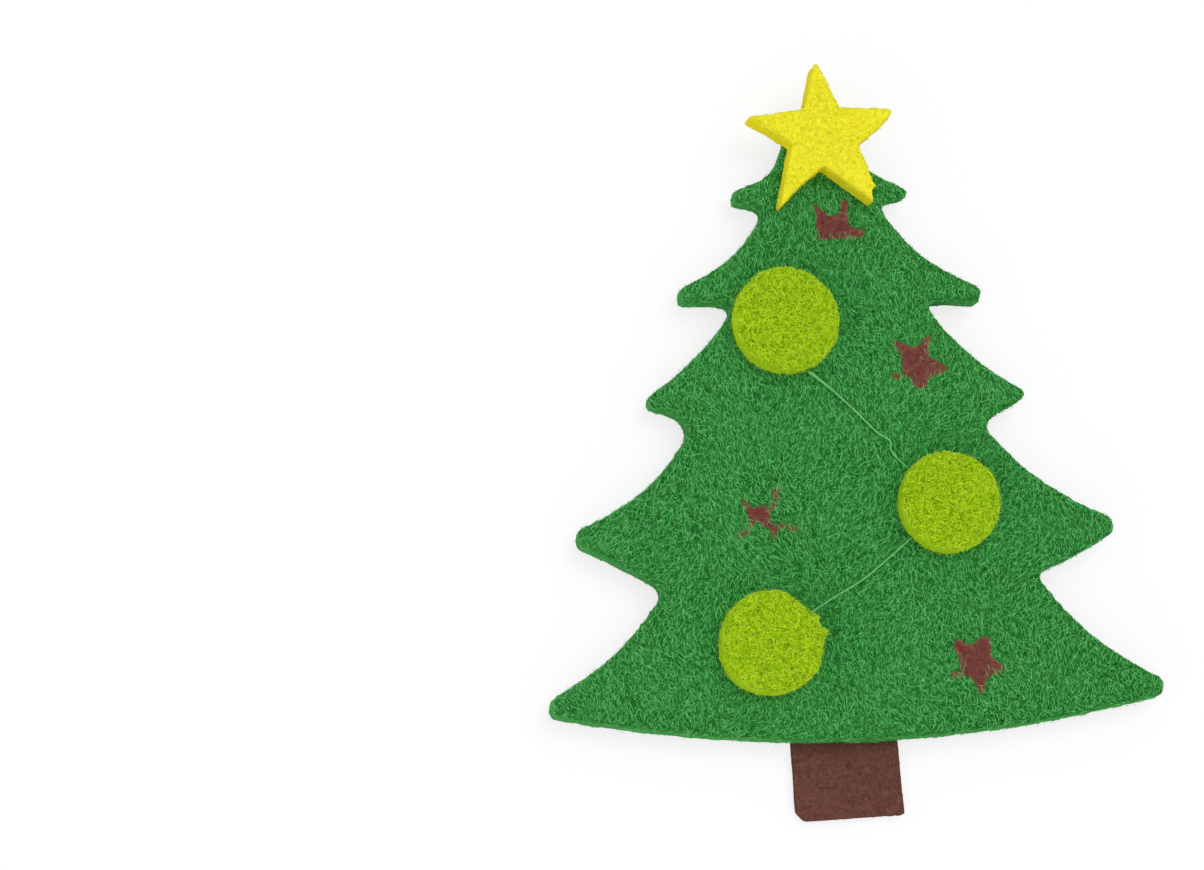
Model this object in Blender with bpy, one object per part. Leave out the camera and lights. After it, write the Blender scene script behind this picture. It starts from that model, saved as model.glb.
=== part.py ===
"""A flat felt christmas tree, in metres, lying on its back: +Z out of its front, +Y towards its top.

The body is cut from one sheet of thick green felt. A trunk of thinner brown felt is glued on behind it,
and a yellow felt star and three lime felt baubles on its front. Four dark red stars are printed on the
green felt, and two thin strings of hot-melt glue are drawn from bauble to bauble.
"""
import math

import bmesh
import bpy
from mathutils import Vector

# Thickness of each felt sheet, and the gap between pieces that lie on each other
BODY_FELT = 0.003
TOPPER_FELT = 0.003
BAUBLE_FELT = 0.003
TRUNK_FELT = 0.0012
LAYER_GAP = 0.0003

# Body: its corners lie this wide and high before they are rounded
BODY_WIDTH = 0.0834
BODY_HEIGHT = 0.0866
NOTCH_ROUND = 0.0020
CROWN_ROUND = 0.0028

# Each bough from the lowest up, as shares of half the body's width and of its height: how far out its
# blunt tip lies, how high the lower and upper corner of that tip are, how far out and how high the corner
# is where the next bough starts, and how far the edges to that corner and from it bow inwards, as shares
# of their own length. The two sides are cut a little unlike.
RIGHT_BOUGH_SHARES = (
    (1.000, 0.053, 0.077, 0.604, 0.249, 0.062, -0.026),
    (0.879, 0.310, 0.332, 0.470, 0.484, 0.058, 0.030),
    (0.621, 0.525, 0.538, 0.309, 0.681, 0.058, 0.020),
    (0.499, 0.678, 0.706, 0.181, 0.840, 0.082, 0.000),
    (0.287, 0.854, 0.864, 0.110, 0.921, 0.062, -0.090),
)
LEFT_BOUGH_SHARES = (
    (1.000, 0.053, 0.079, 0.607, 0.241, 0.062, 0.010),
    (0.877, 0.313, 0.337, 0.485, 0.488, 0.075, 0.080),
    (0.619, 0.524, 0.542, 0.314, 0.681, 0.045, 0.020),
    (0.492, 0.688, 0.711, 0.186, 0.835, 0.079, 0.000),
    (0.290, 0.846, 0.866, 0.120, 0.921, 0.094, -0.090),
)
TIP_ROUND_SHARE = 0.40
BASE_SAG_SHARE = 0.054

# Trunk: how far it shows below the body and runs up behind it, how far left of the middle it sits, and
# how much its lower right corner is out and up from a true rectangle
TRUNK_WIDTH = 0.0143
TRUNK_DROP = 0.0101
TRUNK_LAP = 0.0135
TRUNK_LEFT = 0.0021
TRUNK_SKEW = 0.0004
TRUNK_ROUND = 0.0003
TRUNK_CLIPPED = 0.0012

# Topper star, cut by hand: the direction in degrees and the reach of its tips and notches in turn before
# they are rounded, anticlockwise from its top tip, and how far the edge after each bows inwards
TOPPER_RADIUS = 0.0115
TOPPER_BELOW_TOP = 0.0051
TOPPER_TIP_ROUND = 0.0019
TOPPER_NOTCH_ROUND = 0.0004
TOPPER_TURNS = (92, 122.5, 166, 193.5, 236, 267, 306, 343.5, 379.5, 418)
TOPPER_REACH_SHARES = (0.946, 0.393, 0.997, 0.404, 1.089, 0.373, 1.049, 0.421, 0.962, 0.393)
TOPPER_BOW_SHARES = (0, 0.015, 0.020, 0, 0.030, 0, -0.015, -0.030, 0, 0)

# Baubles, cut by hand too, and placed by shares of half the body's width and of its height
BAUBLE_DIAMETERS = {"upper": 0.0141, "middle": 0.0134, "lower": 0.0136}
BAUBLE_PLACE_SHARES = {
    "upper": (-0.166, 0.651),
    "middle": (0.325, 0.359),
    "lower": (-0.293, 0.150),
}

# Printed stars, each with one point down and turned a little: tip radius, notch radius, ink depth
PRINT_TIPS = 5
PRINT_RADIUS = 0.0046
PRINT_NOTCH_RADIUS = 0.00215
PRINT_DEPTH = 0.0002
PRINT_ROUND = 0.0003
PRINT_TURN = 6
PRINT_PLACE_SHARES = {
    "top": (0.028, 0.803),
    "right": (0.268, 0.581),
    "left": (-0.278, 0.342),
    "base": (0.373, 0.108),
}

# Hot-melt glue: spots under the star and the baubles, sunk in the felt, and a strip over the trunk
GLUE_DEPTH = 0.0005
BAUBLE_GLUE_SHARE = 0.58
TOPPER_GLUE_SHARE = 0.22
TOPPER_GLUE_DOWN_SHARE = 0.12
TRUNK_GLUE_WIDTH_SHARE = 0.62
TRUNK_GLUE_HEIGHT_SHARE = 0.32

# Glue strings: each leaves its bauble and meets the next a little off the straight line between their
# middles, by turns in degrees, and wanders, given as shares of its length along its way and to its left
STRING_DIAMETER = 0.0003
STRING_SPACING = 0.0007
STRING_RUNS = {"upper": ("upper", "middle"), "lower": ("middle", "lower")}
STRING_END_TURNS = {"upper": (-16, 5), "lower": (5, -1)}
STRING_ROUTE_SHARES = {
    "upper": ((0.22, 0.023), (0.44, 0.030), (0.65, 0.030), (0.76, 0.052), (0.81, 0.008), (0.89, -0.004)),
    "lower": ((0.18, 0.016), (0.43, 0.033), (0.57, 0.030), (0.79, 0.010)),
}

# Cuts run past the face that they start from, and welded points lie closer than this
OVERRUN = 0.001
WELD = 0.000001

# Steps along each stretch of an outline, and sides of each round piece
BODY_STEPS = 8
TOPPER_STEPS = 6
SMALL_STEPS = 3
BAUBLE_SIDES = 64
GLUE_SIDES = 32

# Colours as linear red, green and blue
GREEN = (0.034, 0.270, 0.058)
YELLOW = (0.831, 0.791, 0.032)
LIME = (0.305, 0.515, 0.013)
BROWN = (0.141, 0.053, 0.041)
DARK_RED = (0.205, 0.034, 0.037)
PALE_GLUE = (0.760, 0.840, 0.740)

BODY_BACK = TRUNK_FELT + LAYER_GAP
BODY_FRONT = BODY_BACK + BODY_FELT
ON_BODY = BODY_FRONT + LAYER_GAP

# A handle this far along towards the point that steers a stretch gives a parabola, and a rounding takes
# no more than this share of an edge
HANDLE_SHARE = 2 / 3
ROUND_LIMIT_SHARE = 0.48


def clear_scene():
    for ob in list(bpy.data.objects):
        bpy.data.objects.remove(ob, do_unlink=True)


def new_collection(name):
    collection = bpy.data.collections.new(name)
    bpy.context.scene.collection.children.link(collection)
    return collection


def new_material(name, colour, roughness):
    material = bpy.data.materials.new(name)
    material.use_nodes = True
    shader = material.node_tree.nodes["Principled BSDF"]
    shader.inputs["Base Color"].default_value = (*colour, 1.0)
    shader.inputs["Roughness"].default_value = roughness
    shader.inputs["Metallic"].default_value = 0.0
    return material


def keep_in(collection, ob):
    """Takes the object out of every other collection and puts it in this one."""
    for other in list(ob.users_collection):
        other.objects.unlink(ob)
    collection.objects.link(ob)
    return ob


def body_place(shares):
    """A place on the body, from its shares of half the width and of the height."""
    reach_share, height_share = shares
    return Vector((reach_share * BODY_WIDTH / 2, height_share * BODY_HEIGHT))


def curved_outline(name, corners, roundings, bow_shares, thickness, steps):
    """A flat piece with this outline, anticlockwise. Each edge bows to its left by a share of its length."""
    steers, lengths = [], []
    for corner, after, bow_share in zip(corners, corners[1:] + corners[:1], bow_shares):
        run = after - corner
        left = Vector((-run.y, run.x))
        steers.append((corner + after) / 2 + 2 * bow_share * left)
        lengths.append(run.length)
    curve = bpy.data.curves.new(name, "CURVE")
    curve.dimensions = "2D"
    curve.fill_mode = "BOTH"
    curve.extrude = thickness / 2
    curve.resolution_u = steps
    spline = curve.splines.new("BEZIER")
    spline.use_cyclic_u = True
    spline.bezier_points.add(2 * len(corners) - 1)
    points = iter(spline.bezier_points)
    for i, corner in enumerate(corners):
        before, after = steers[i - 1], steers[i]
        rounding = min(roundings[i], ROUND_LIMIT_SHARE * min(lengths[i - 1], lengths[i]))
        start = corner + rounding * (before - corner).normalized()
        end = corner + rounding * (after - corner).normalized()
        place_point(next(points), start, before, corner)
        place_point(next(points), end, corner, after)
    return bpy.data.objects.new(name, curve)


def place_point(point, place, towards_last, towards_next):
    """Sets one point of the curve, with its handles on the lines to the two points that steer it."""
    point.handle_left_type = "FREE"
    point.handle_right_type = "FREE"
    point.co = place.to_3d()
    point.handle_left = (place + HANDLE_SHARE * (towards_last - place)).to_3d()
    point.handle_right = (place + HANDLE_SHARE * (towards_next - place)).to_3d()


def as_mesh(collection, outline):
    """The same flat piece as a mesh, with its two faces welded to its edge."""
    collection.objects.link(outline)
    graph = bpy.context.evaluated_depsgraph_get()
    mesh = bpy.data.meshes.new_from_object(outline.evaluated_get(graph))
    work = bmesh.new()
    work.from_mesh(mesh)
    bmesh.ops.remove_doubles(work, verts=work.verts, dist=WELD)
    bmesh.ops.recalc_face_normals(work, faces=work.faces)
    work.to_mesh(mesh)
    work.free()
    name = outline.name
    outline.name = name + "_outline"
    piece = bpy.data.objects.new(name, mesh)
    piece.matrix_world = outline.matrix_world
    collection.objects.link(piece)
    bpy.data.objects.remove(outline)
    return piece


def lay(piece, place, back, thickness):
    """Puts a flat piece with its middle at this place and its back face at this height."""
    piece.location = (place.x, place.y, back + thickness / 2)
    return piece


def body_side(bough_shares):
    """One side's corners from the lowest up, with their roundings and the bows of the edges above them."""
    corners, roundings, bow_shares = [], [], []
    for tip_reach, tip_low, tip_high, notch_reach, notch_height, up_bow, out_bow in bough_shares:
        low, high = body_place((tip_reach, tip_low)), body_place((tip_reach, tip_high))
        tip_round = TIP_ROUND_SHARE * (high - low).length
        corners += [low, high, body_place((notch_reach, notch_height))]
        roundings += [tip_round, tip_round, NOTCH_ROUND]
        bow_shares += [0, up_bow, out_bow]
    return corners, roundings, bow_shares


def body_outline():
    """The corners of the tree, anticlockwise from its lowest right tip, with their roundings and bows."""
    corners, roundings, bow_shares = body_side(RIGHT_BOUGH_SHARES)
    left_corners, left_roundings, left_bow_shares = body_side(LEFT_BOUGH_SHARES)
    mirrored = [Vector((-corner.x, corner.y)) for corner in reversed(left_corners)]
    corners = corners + [body_place((0, 1))] + mirrored
    roundings = roundings + [CROWN_ROUND] + left_roundings[::-1]
    bow_shares = bow_shares + left_bow_shares[::-1] + [-BASE_SAG_SHARE]
    return corners, roundings, bow_shares


def star_corners(turns, radii):
    """Tips and notches in turn, anticlockwise."""
    corners = []
    for turn, radius in zip(turns, radii):
        angle = math.radians(turn)
        corners.append(Vector((radius * math.cos(angle), radius * math.sin(angle))))
    return corners


def topper_outline():
    """The topper star's corners, anticlockwise from its top tip, with their roundings and bows."""
    corners = star_corners(TOPPER_TURNS, [share * TOPPER_RADIUS for share in TOPPER_REACH_SHARES])
    roundings = [TOPPER_TIP_ROUND, TOPPER_NOTCH_ROUND] * (len(corners) // 2)
    return corners, roundings, TOPPER_BOW_SHARES


def print_piece(name, collection, corners, thickness):
    """A flat printed star with straight edges."""
    count = len(corners)
    outline = curved_outline(name, corners, [PRINT_ROUND] * count, [0] * count, thickness, SMALL_STEPS)
    return as_mesh(collection, outline)


def print_corners(clearance):
    """A printed star's corners, with every edge moved out by the clearance."""
    step = 180 / PRINT_TIPS
    angle = math.radians(step)
    tip, notch = PRINT_RADIUS, PRINT_NOTCH_RADIUS
    side = math.sqrt(tip**2 + notch**2 - 2 * tip * notch * math.cos(angle))
    edge_from_middle = tip * notch * math.sin(angle) / side
    growth = 1 + clearance / edge_from_middle
    turns = [PRINT_TURN - 90 + i * step for i in range(2 * PRINT_TIPS)]
    return star_corners(turns, [tip * growth, notch * growth] * PRINT_TIPS)


def disc(name, radius, thickness, sides):
    bpy.ops.mesh.primitive_cylinder_add(vertices=sides, radius=radius, depth=thickness)
    piece = bpy.context.object
    piece.name = name
    piece.data.name = name
    piece.data.shade_smooth()
    piece.data.set_sharp_from_angle(angle=math.radians(30))
    return piece


def block(name, width, height, thickness):
    """A box, with its size in its mesh."""
    mesh = bpy.data.meshes.new(name)
    work = bmesh.new()
    bmesh.ops.create_cube(work, size=1)
    bmesh.ops.scale(work, vec=(width, height, thickness), verts=work.verts)
    work.to_mesh(mesh)
    work.free()
    return bpy.data.objects.new(name, mesh)


def trunk_piece(collection):
    """The trunk, with its lower left corner clipped off."""
    left, right = -TRUNK_WIDTH / 2 - TRUNK_LEFT, TRUNK_WIDTH / 2 - TRUNK_LEFT
    corners = [
        Vector((left, TRUNK_LAP)),
        Vector((left, TRUNK_CLIPPED - TRUNK_DROP)),
        Vector((left + TRUNK_CLIPPED, -TRUNK_DROP)),
        Vector((right + TRUNK_SKEW, TRUNK_SKEW - TRUNK_DROP)),
        Vector((right, TRUNK_LAP)),
    ]
    count = len(corners)
    roundings = [TRUNK_ROUND] * count
    outline = curved_outline("trunk", corners, roundings, [0] * count, TRUNK_FELT, SMALL_STEPS)
    piece = as_mesh(collection, outline)
    return lay(piece, Vector((0, 0)), 0, TRUNK_FELT)


def trunk_glue_place():
    """The middle of the part of the trunk that lies behind the body."""
    return Vector((-TRUNK_LEFT, TRUNK_LAP / 2))


def bauble_place(name):
    return body_place(BAUBLE_PLACE_SHARES[name])


def topper_place():
    return Vector((0, BODY_HEIGHT - TOPPER_BELOW_TOP))


def front_glue_spots():
    """Each spot of glue on the front: its name, place and radius."""
    spots = [
        ("glue_pad_" + name, bauble_place(name), BAUBLE_GLUE_SHARE * diameter / 2)
        for name, diameter in BAUBLE_DIAMETERS.items()
    ]
    below = Vector((0, -TOPPER_GLUE_DOWN_SHARE * TOPPER_RADIUS))
    spots.append(("glue_pad_topper", topper_place() + below, TOPPER_GLUE_SHARE * TOPPER_RADIUS))
    return spots


def beside_bauble(name, way, turn):
    """A place just clear of a bauble's rim, this way from its middle and then turned by so many degrees."""
    angle = math.atan2(way.y, way.x) + math.radians(turn)
    clear_radius = BAUBLE_DIAMETERS[name] / 2 + LAYER_GAP
    return bauble_place(name) + clear_radius * Vector((math.cos(angle), math.sin(angle)))


def string_stops(name):
    """Where a glue string starts, wanders and ends, just clear of the rims of its two baubles."""
    first, last = STRING_RUNS[name]
    straight = bauble_place(last) - bauble_place(first)
    start_turn, end_turn = STRING_END_TURNS[name]
    start = beside_bauble(first, straight, start_turn)
    end = beside_bauble(last, -straight, end_turn)
    run = end - start
    left = Vector((-run.y, run.x))
    height = ON_BODY + STRING_DIAMETER / 2
    flat = [start]
    flat += [start + along * run + aside * left for along, aside in STRING_ROUTE_SHARES[name]]
    flat.append(end)
    return [Vector((stop.x, stop.y, height)) for stop in flat]


def smooth_route(stops, spacing):
    """Points about one spacing apart on a smooth curve through the stops."""
    padded = [2 * stops[0] - stops[1], *stops, 2 * stops[-1] - stops[-2]]
    route = []
    for before, start, end, after in zip(padded, padded[1:], padded[2:], padded[3:]):
        count = max(round((end - start).length / spacing), 1)
        for i in range(count):
            t = i / count
            straight = 2 * start + (end - before) * t
            bend = (2 * before - 5 * start + 4 * end - after) * t**2
            twist = (3 * start - before - 3 * end + after) * t**3
            route.append((straight + bend + twist) / 2)
    route.append(stops[-1])
    return route


def glue_string(name):
    route = smooth_route(string_stops(name), STRING_SPACING)
    curve = bpy.data.curves.new("glue_string_" + name, "CURVE")
    curve.dimensions = "3D"
    curve.bevel_depth = STRING_DIAMETER / 2
    curve.bevel_resolution = 2
    curve.use_fill_caps = True
    spline = curve.splines.new("POLY")
    spline.points.add(len(route) - 1)
    for point, place in zip(spline.points, route):
        point.co = (*place, 1)
    return bpy.data.objects.new(curve.name, curve)


def cut(piece, cutters):
    change = piece.modifiers.new("pockets", "BOOLEAN")
    change.operation = "DIFFERENCE"
    change.solver = "EXACT"
    change.operand_type = "COLLECTION"
    change.collection = cutters


def hide_cutter(cutters, cutter):
    keep_in(cutters, cutter)
    cutter.hide_render = True
    cutter.display_type = "WIRE"


def front_pocket(cutters, cutter, place, depth, thickness):
    """Lays a cutter so that it sinks this deep into the body's front."""
    lay(cutter, place, BODY_FRONT - depth, thickness)
    hide_cutter(cutters, cutter)


def build_pockets(cutters):
    """Shallow pockets in the body for the glue and for the ink that soaked into it."""
    glue_pocket = GLUE_DEPTH + LAYER_GAP
    for name, place, radius in front_glue_spots():
        thickness = glue_pocket + OVERRUN
        pocket = disc("pocket_" + name, radius + LAYER_GAP, thickness, GLUE_SIDES)
        front_pocket(cutters, pocket, place, glue_pocket, thickness)
    ink_pocket = PRINT_DEPTH + LAYER_GAP
    for name, shares in PRINT_PLACE_SHARES.items():
        thickness = ink_pocket + OVERRUN
        pocket = print_piece("pocket_print_" + name, cutters, print_corners(LAYER_GAP), thickness)
        front_pocket(cutters, pocket, body_place(shares), ink_pocket, thickness)
    width = TRUNK_GLUE_WIDTH_SHARE * TRUNK_WIDTH + 2 * LAYER_GAP
    height = TRUNK_GLUE_HEIGHT_SHARE * TRUNK_LAP + 2 * LAYER_GAP
    thickness = glue_pocket + OVERRUN
    pocket = block("pocket_glue_strip", width, height, thickness)
    lay(pocket, trunk_glue_place(), BODY_BACK - OVERRUN, thickness)
    hide_cutter(cutters, pocket)


def build_felt(pieces, materials):
    """The five kinds of felt piece, each with its material, in the order in which they are stacked."""
    made = {trunk_piece(pieces): "brown_felt"}
    body = as_mesh(pieces, curved_outline("tree_body", *body_outline(), BODY_FELT, BODY_STEPS))
    made[lay(body, Vector((0, 0)), BODY_BACK, BODY_FELT)] = "green_felt"
    topper = as_mesh(pieces, curved_outline("topper_star", *topper_outline(), TOPPER_FELT, TOPPER_STEPS))
    made[lay(topper, topper_place(), ON_BODY, TOPPER_FELT)] = "yellow_felt"
    for name, diameter in BAUBLE_DIAMETERS.items():
        bauble = disc("bauble_" + name, diameter / 2, BAUBLE_FELT, BAUBLE_SIDES)
        made[lay(bauble, bauble_place(name), ON_BODY, BAUBLE_FELT)] = "lime_felt"
    for ob, material in made.items():
        keep_in(pieces, ob)
        ob.data.materials.append(materials[material])
    return body


def build_glue(pieces, materials):
    made = []
    for name, place, radius in front_glue_spots():
        pad = disc(name, radius, GLUE_DEPTH, GLUE_SIDES)
        made.append(lay(pad, place, BODY_FRONT - GLUE_DEPTH, GLUE_DEPTH))
    width = TRUNK_GLUE_WIDTH_SHARE * TRUNK_WIDTH
    height = TRUNK_GLUE_HEIGHT_SHARE * TRUNK_LAP
    strip = block("glue_strip_trunk", width, height, GLUE_DEPTH)
    made.append(lay(strip, trunk_glue_place(), BODY_BACK, GLUE_DEPTH))
    made += [glue_string(name) for name in STRING_RUNS]
    for ob in made:
        keep_in(pieces, ob)
        ob.data.materials.append(materials["glue"])


def build_prints(pieces, materials):
    for name, shares in PRINT_PLACE_SHARES.items():
        ink = print_piece("print_star_" + name, pieces, print_corners(0), PRINT_DEPTH)
        lay(ink, body_place(shares), BODY_FRONT - PRINT_DEPTH, PRINT_DEPTH)
        ink.data.materials.append(materials["ink"])


def centre_on_origin(pieces, carrier):
    """Hangs every piece on one empty and moves it, so that the box round them stands over the origin."""
    for ob in pieces.objects:
        ob.parent = carrier
    bpy.context.view_layer.update()
    graph = bpy.context.evaluated_depsgraph_get()
    corners = []
    for ob in pieces.objects:
        shown = ob.evaluated_get(graph)
        corners += [shown.matrix_world @ Vector(corner) for corner in shown.bound_box]
    xs = [corner.x for corner in corners]
    ys = [corner.y for corner in corners]
    carrier.location = (-(min(xs) + max(xs)) / 2, -(min(ys) + max(ys)) / 2, 0)


def build():
    clear_scene()
    pieces = new_collection("felt_christmas_tree")
    cutters = new_collection("cutters")
    materials = {
        "green_felt": new_material("green_felt", GREEN, 0.95),
        "yellow_felt": new_material("yellow_felt", YELLOW, 0.95),
        "lime_felt": new_material("lime_felt", LIME, 0.95),
        "brown_felt": new_material("brown_felt", BROWN, 0.92),
        "ink": new_material("ink", DARK_RED, 0.85),
        "glue": new_material("glue", PALE_GLUE, 0.35),
    }
    body = build_felt(pieces, materials)
    build_glue(pieces, materials)
    build_prints(pieces, materials)
    build_pockets(cutters)
    cut(body, cutters)
    carrier = bpy.data.objects.new("tree_middle", None)
    bpy.context.scene.collection.objects.link(carrier)
    centre_on_origin(pieces, carrier)
    for ob in cutters.objects:
        ob.parent = carrier


build()
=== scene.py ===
"""Felt christmas tree: cut felt with curled fibres, printed stars and glue strings, on a pale floor."""
import math
from collections import namedtuple

import bmesh
import bpy
import numpy as np
from mathutils import Matrix, Vector, noise
from mathutils.bvhtree import BVHTree
from mathutils.geometry import interpolate_bezier


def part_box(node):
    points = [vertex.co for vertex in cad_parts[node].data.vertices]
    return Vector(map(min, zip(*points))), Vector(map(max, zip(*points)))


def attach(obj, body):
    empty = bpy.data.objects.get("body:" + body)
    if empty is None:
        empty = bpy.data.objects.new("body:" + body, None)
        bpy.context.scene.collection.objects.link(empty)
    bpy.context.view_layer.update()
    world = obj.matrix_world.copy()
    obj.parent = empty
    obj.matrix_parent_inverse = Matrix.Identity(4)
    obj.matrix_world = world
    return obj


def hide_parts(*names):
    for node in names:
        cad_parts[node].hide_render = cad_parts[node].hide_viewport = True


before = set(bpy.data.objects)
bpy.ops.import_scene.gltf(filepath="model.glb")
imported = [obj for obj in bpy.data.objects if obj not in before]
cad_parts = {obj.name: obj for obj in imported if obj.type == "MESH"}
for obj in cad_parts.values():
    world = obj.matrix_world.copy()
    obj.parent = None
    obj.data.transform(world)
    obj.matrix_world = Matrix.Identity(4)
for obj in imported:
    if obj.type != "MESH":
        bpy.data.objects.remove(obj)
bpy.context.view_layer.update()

# Lengths below are in millimetres, and MM turns them into Blender's metres. Points nearer than TOUCH
# count as level, and at most AT_ONCE places are measured in one step, to keep the arrays small.
MM = 0.001
TOUCH = 0.002
AT_ONCE = 4000

# The photograph, and the angles by which the camera stands to the left of the tree's middle and below it
PHOTO_WIDTH = 1204
PHOTO_HEIGHT = 870
FOCAL_PIXELS = 5000
PIXELS_PER_MM = 7.5
STAND_LEFT = 12.6
STAND_LOW = 11.9
CAMERA_ROLL = -1.4
AIM_PIXEL = (856, 440)
AIM_POINT = (1.9, -0.46, 4.5)
SENSOR_WIDTH = 36

# Light at a plain level: the world and the two lamps together make about 1 on the tree's front.
# Each lamp has its strength, the width of its soft disc and the turn of its beam in degrees.
WORLD_LIGHT = 0.63
LAMPS = {
    "key_upper_right": (0.90, 40, (-17, 17, 0)),
    "fill_lower_left": (0.80, 80, (37, -49, 0)),
}

# The floor lights the tree as white paper does, and keeps a light shadow where it is seen
FLOOR_SIZE = 3000
FLOOR_DROP = 0.2
FLOOR_WHITE = 0.85
FLOOR_SEEN = 0.25
FLOOR_GLOW = 0.75

# How the felt pieces are cut, how bumpy their faces are, as (height, wave length) pairs, and how
# far the rim of the front is rounded. The back reaches a little lower than the frame's flat one.
BODY_VOXEL = 0.30
SMALL_VOXEL = 0.16
TRUNK_VOXEL = 0.20
THICK_RELIEF = ((0.10, 6.0), (0.07, 1.6), (0.05, 0.7))
THIN_RELIEF = ((0.05, 5.0), (0.03, 1.2), (0.02, 0.5))
BODY_ROUND = 0.35
BAUBLE_ROUND = 0.60
TOPPER_ROUND = 0.40
TRUNK_ROUND = 0.15
BODY_DROP = 0.15
BAUBLE_DROP = 0.2
BAUBLE_POINTS = 160

# How far a piece's seed shifts its bumps, and how soon the skin stops counting as cut wall as it turns up
SEED_STRIDE = 2.7
WALL_FADE = 1.4

# Faces are front, back or wall by the height of their normal, and rim where it lies between these two
# heights within reach of an edge
FLAT_UP = 0.6
RIM_UP = (0.15, 0.9)
RIM_REACH = 0.7

# Glue spots under the star and baubles: how far round each the body's front is pressed in, how far it
# lies under the glue, and how far round it no fibres are laid
GLUE_SPOTS = ("topper", "upper", "middle", "lower")
SPOT_CLEAR = 0.3
SPOT_UNDER = 0.25
SPOT_BARE = 1

# The topper star's arms are matted smooth: its share of fibres is TOPPER_FADE less one for each
# TOPPER_MATTED from its middle, from 1 down to TOPPER_LEAST
TOPPER_FADE = 1.9
TOPPER_MATTED = 5.0
TOPPER_LEAST = 0.3

# Where the cutting left the baubles uneven: (degrees, half width in degrees, height)
BAUBLE_BUMPS = {
    "upper": ((50, 22, -0.18), (185, 25, 0.10), (275, 16, -0.08)),
    "middle": ((30, 10, 0.12), (75, 14, -0.10), (200, 20, 0.08), (300, 14, -0.10)),
    "lower": ((48, 16, -0.38), (26, 3.5, 0.45), (8, 4, 0.95), (-12, 10, -0.10), (225, 32, 0.30)),
}

# Corners that the cutting left sharp, anticlockwise, and how far round them the frame's outline gives way
TIP_REACH = 0.45
TIP_CUTS = (
    ((20.70, 18.16), (21.13, 19.95)),
    ((25.45, 4.74), (26.00, 5.42)),
    ((11.45, 32.89), (12.08, 33.72)),
    ((-11.98, 33.99), (-12.10, 32.53)),
)
STAR_LEG_CUT = ((6.08, 31.60), (6.15, 33.25), (6.70, 33.85), (6.36, 34.30))

# Fibres: stops along each, sides round each, most of them in one mesh, how deep their ends are rooted,
# how full they stay towards their tips (less is fuller), and the margin of each one's bake map cell
STOPS = 5
SIDES = 3
MOST_IN_ONE = 9000
ROOT_DEPTH = 0.05
TIP_POWER = 0.4
CELL_MARGIN = 0.05

# A kind of fibre: how many on a square millimetre, lengths, curl, heights over the skin, radii,
# tone (0 dark to 1 light) with its spread, and how far they keep to the felt's grain (0 to 1)
Kind = namedtuple("Kind", "dense lengths curl lift radii tone grain", defaults=(0,))
# The deep kinds are dark, in painted shade, and the top and long ones, which lie highest, are light, in
# painted light
DEEP_SHADED = Kind(5.3, (0.5, 1.2), 0.15, (0.02, 0.10), (0.032, 0.048), (0.15, 0.18), 0.75)
TOP_LIT = Kind(5.0, (0.5, 1.5), 0.14, (0.07, 0.17), (0.032, 0.047), (0.94, 0.10), 0.85)
LONG_LIT = Kind(0.05, (2.0, 3.5), 0.10, (0.12, 0.22), (0.032, 0.045), (0.95, 0.05), 0.6)
# The short kinds likewise: the deep ones are dark in painted shade, the top ones light in painted light
SHORT_DEEP_SHADED = Kind(3.7, (0.5, 1.2), 0.26, (0.00, 0.08), (0.042, 0.062), (0.10, 0.16))
SHORT_TOP_LIT = Kind(3.9, (0.5, 1.3), 0.26, (0.06, 0.16), (0.042, 0.062), (0.93, 0.12))
RIM = Kind(3.5, (0.8, 2.0), 0.15, (0.06, 0.18), (0.040, 0.065), (0.60, 0.25))
FLAT = Kind(3.5, (0.8, 2.0), 0.22, (0.02, 0.09), (0.030, 0.050), (0.45, 0.22))
INKED = Kind(14, (0.5, 1.5), 0.25, (0.04, 0.20), (0.045, 0.070), (0.50, 0.25))

# Loose ends: how many, their lengths and radii, and how far they lean from the skin's normal; and how
# much each one bends, how much it wavers, and its tone with its spread
Fuzz = namedtuple("Fuzz", "count lengths radii lean")
TREE_FUZZ = Fuzz(2400, (0.2, 0.6), (0.016, 0.028), 0.6)
BAUBLE_FUZZ = Fuzz(900, (0.2, 0.6), (0.020, 0.034), 0.7)
STAR_FUZZ = Fuzz(500, (0.2, 0.5), (0.016, 0.028), 0.7)
FUZZ_BEND = 0.22
FUZZ_WAVER = 0.08
FUZZ_TONE = (0.75, 0.20)

# The height of the rows along which the fibres start. The grain's direction in degrees, its spread in
# radians, and how far it swings, in degrees, over what length.
START_ROW = 0.5
GRAIN_TURN = 86
GRAIN_SPREAD = 0.42
GRAIN_SWING = 70
GRAIN_LENGTH = 12


# Camera, lamp, world and floor

def make_camera():
    left, low = math.tan(math.radians(STAND_LEFT)), math.tan(math.radians(STAND_LOW))
    towards = Vector((-left, -low, 1)).normalized()
    roll = math.radians(CAMERA_ROLL)
    right = Vector((math.cos(roll), math.sin(roll), 0))
    right = (right - towards * right.dot(towards)).normalized()
    turn = Matrix((right, towards.cross(right), towards)).transposed()
    distance = FOCAL_PIXELS / PIXELS_PER_MM
    across = (AIM_PIXEL[0] - PHOTO_WIDTH / 2) / FOCAL_PIXELS
    above = (PHOTO_HEIGHT / 2 - AIM_PIXEL[1]) / FOCAL_PIXELS
    place = Vector(AIM_POINT) - turn @ (Vector((across, above, -1)) * distance)
    data = bpy.data.cameras.new("camera")
    data.sensor_width = SENSOR_WIDTH
    data.lens = SENSOR_WIDTH * FOCAL_PIXELS / PHOTO_WIDTH
    camera = bpy.data.objects.new("camera", data)
    bpy.context.scene.collection.objects.link(camera)
    camera.matrix_world = Matrix.Translation(place * MM) @ turn.to_4x4()
    bpy.context.scene.camera = camera


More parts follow.
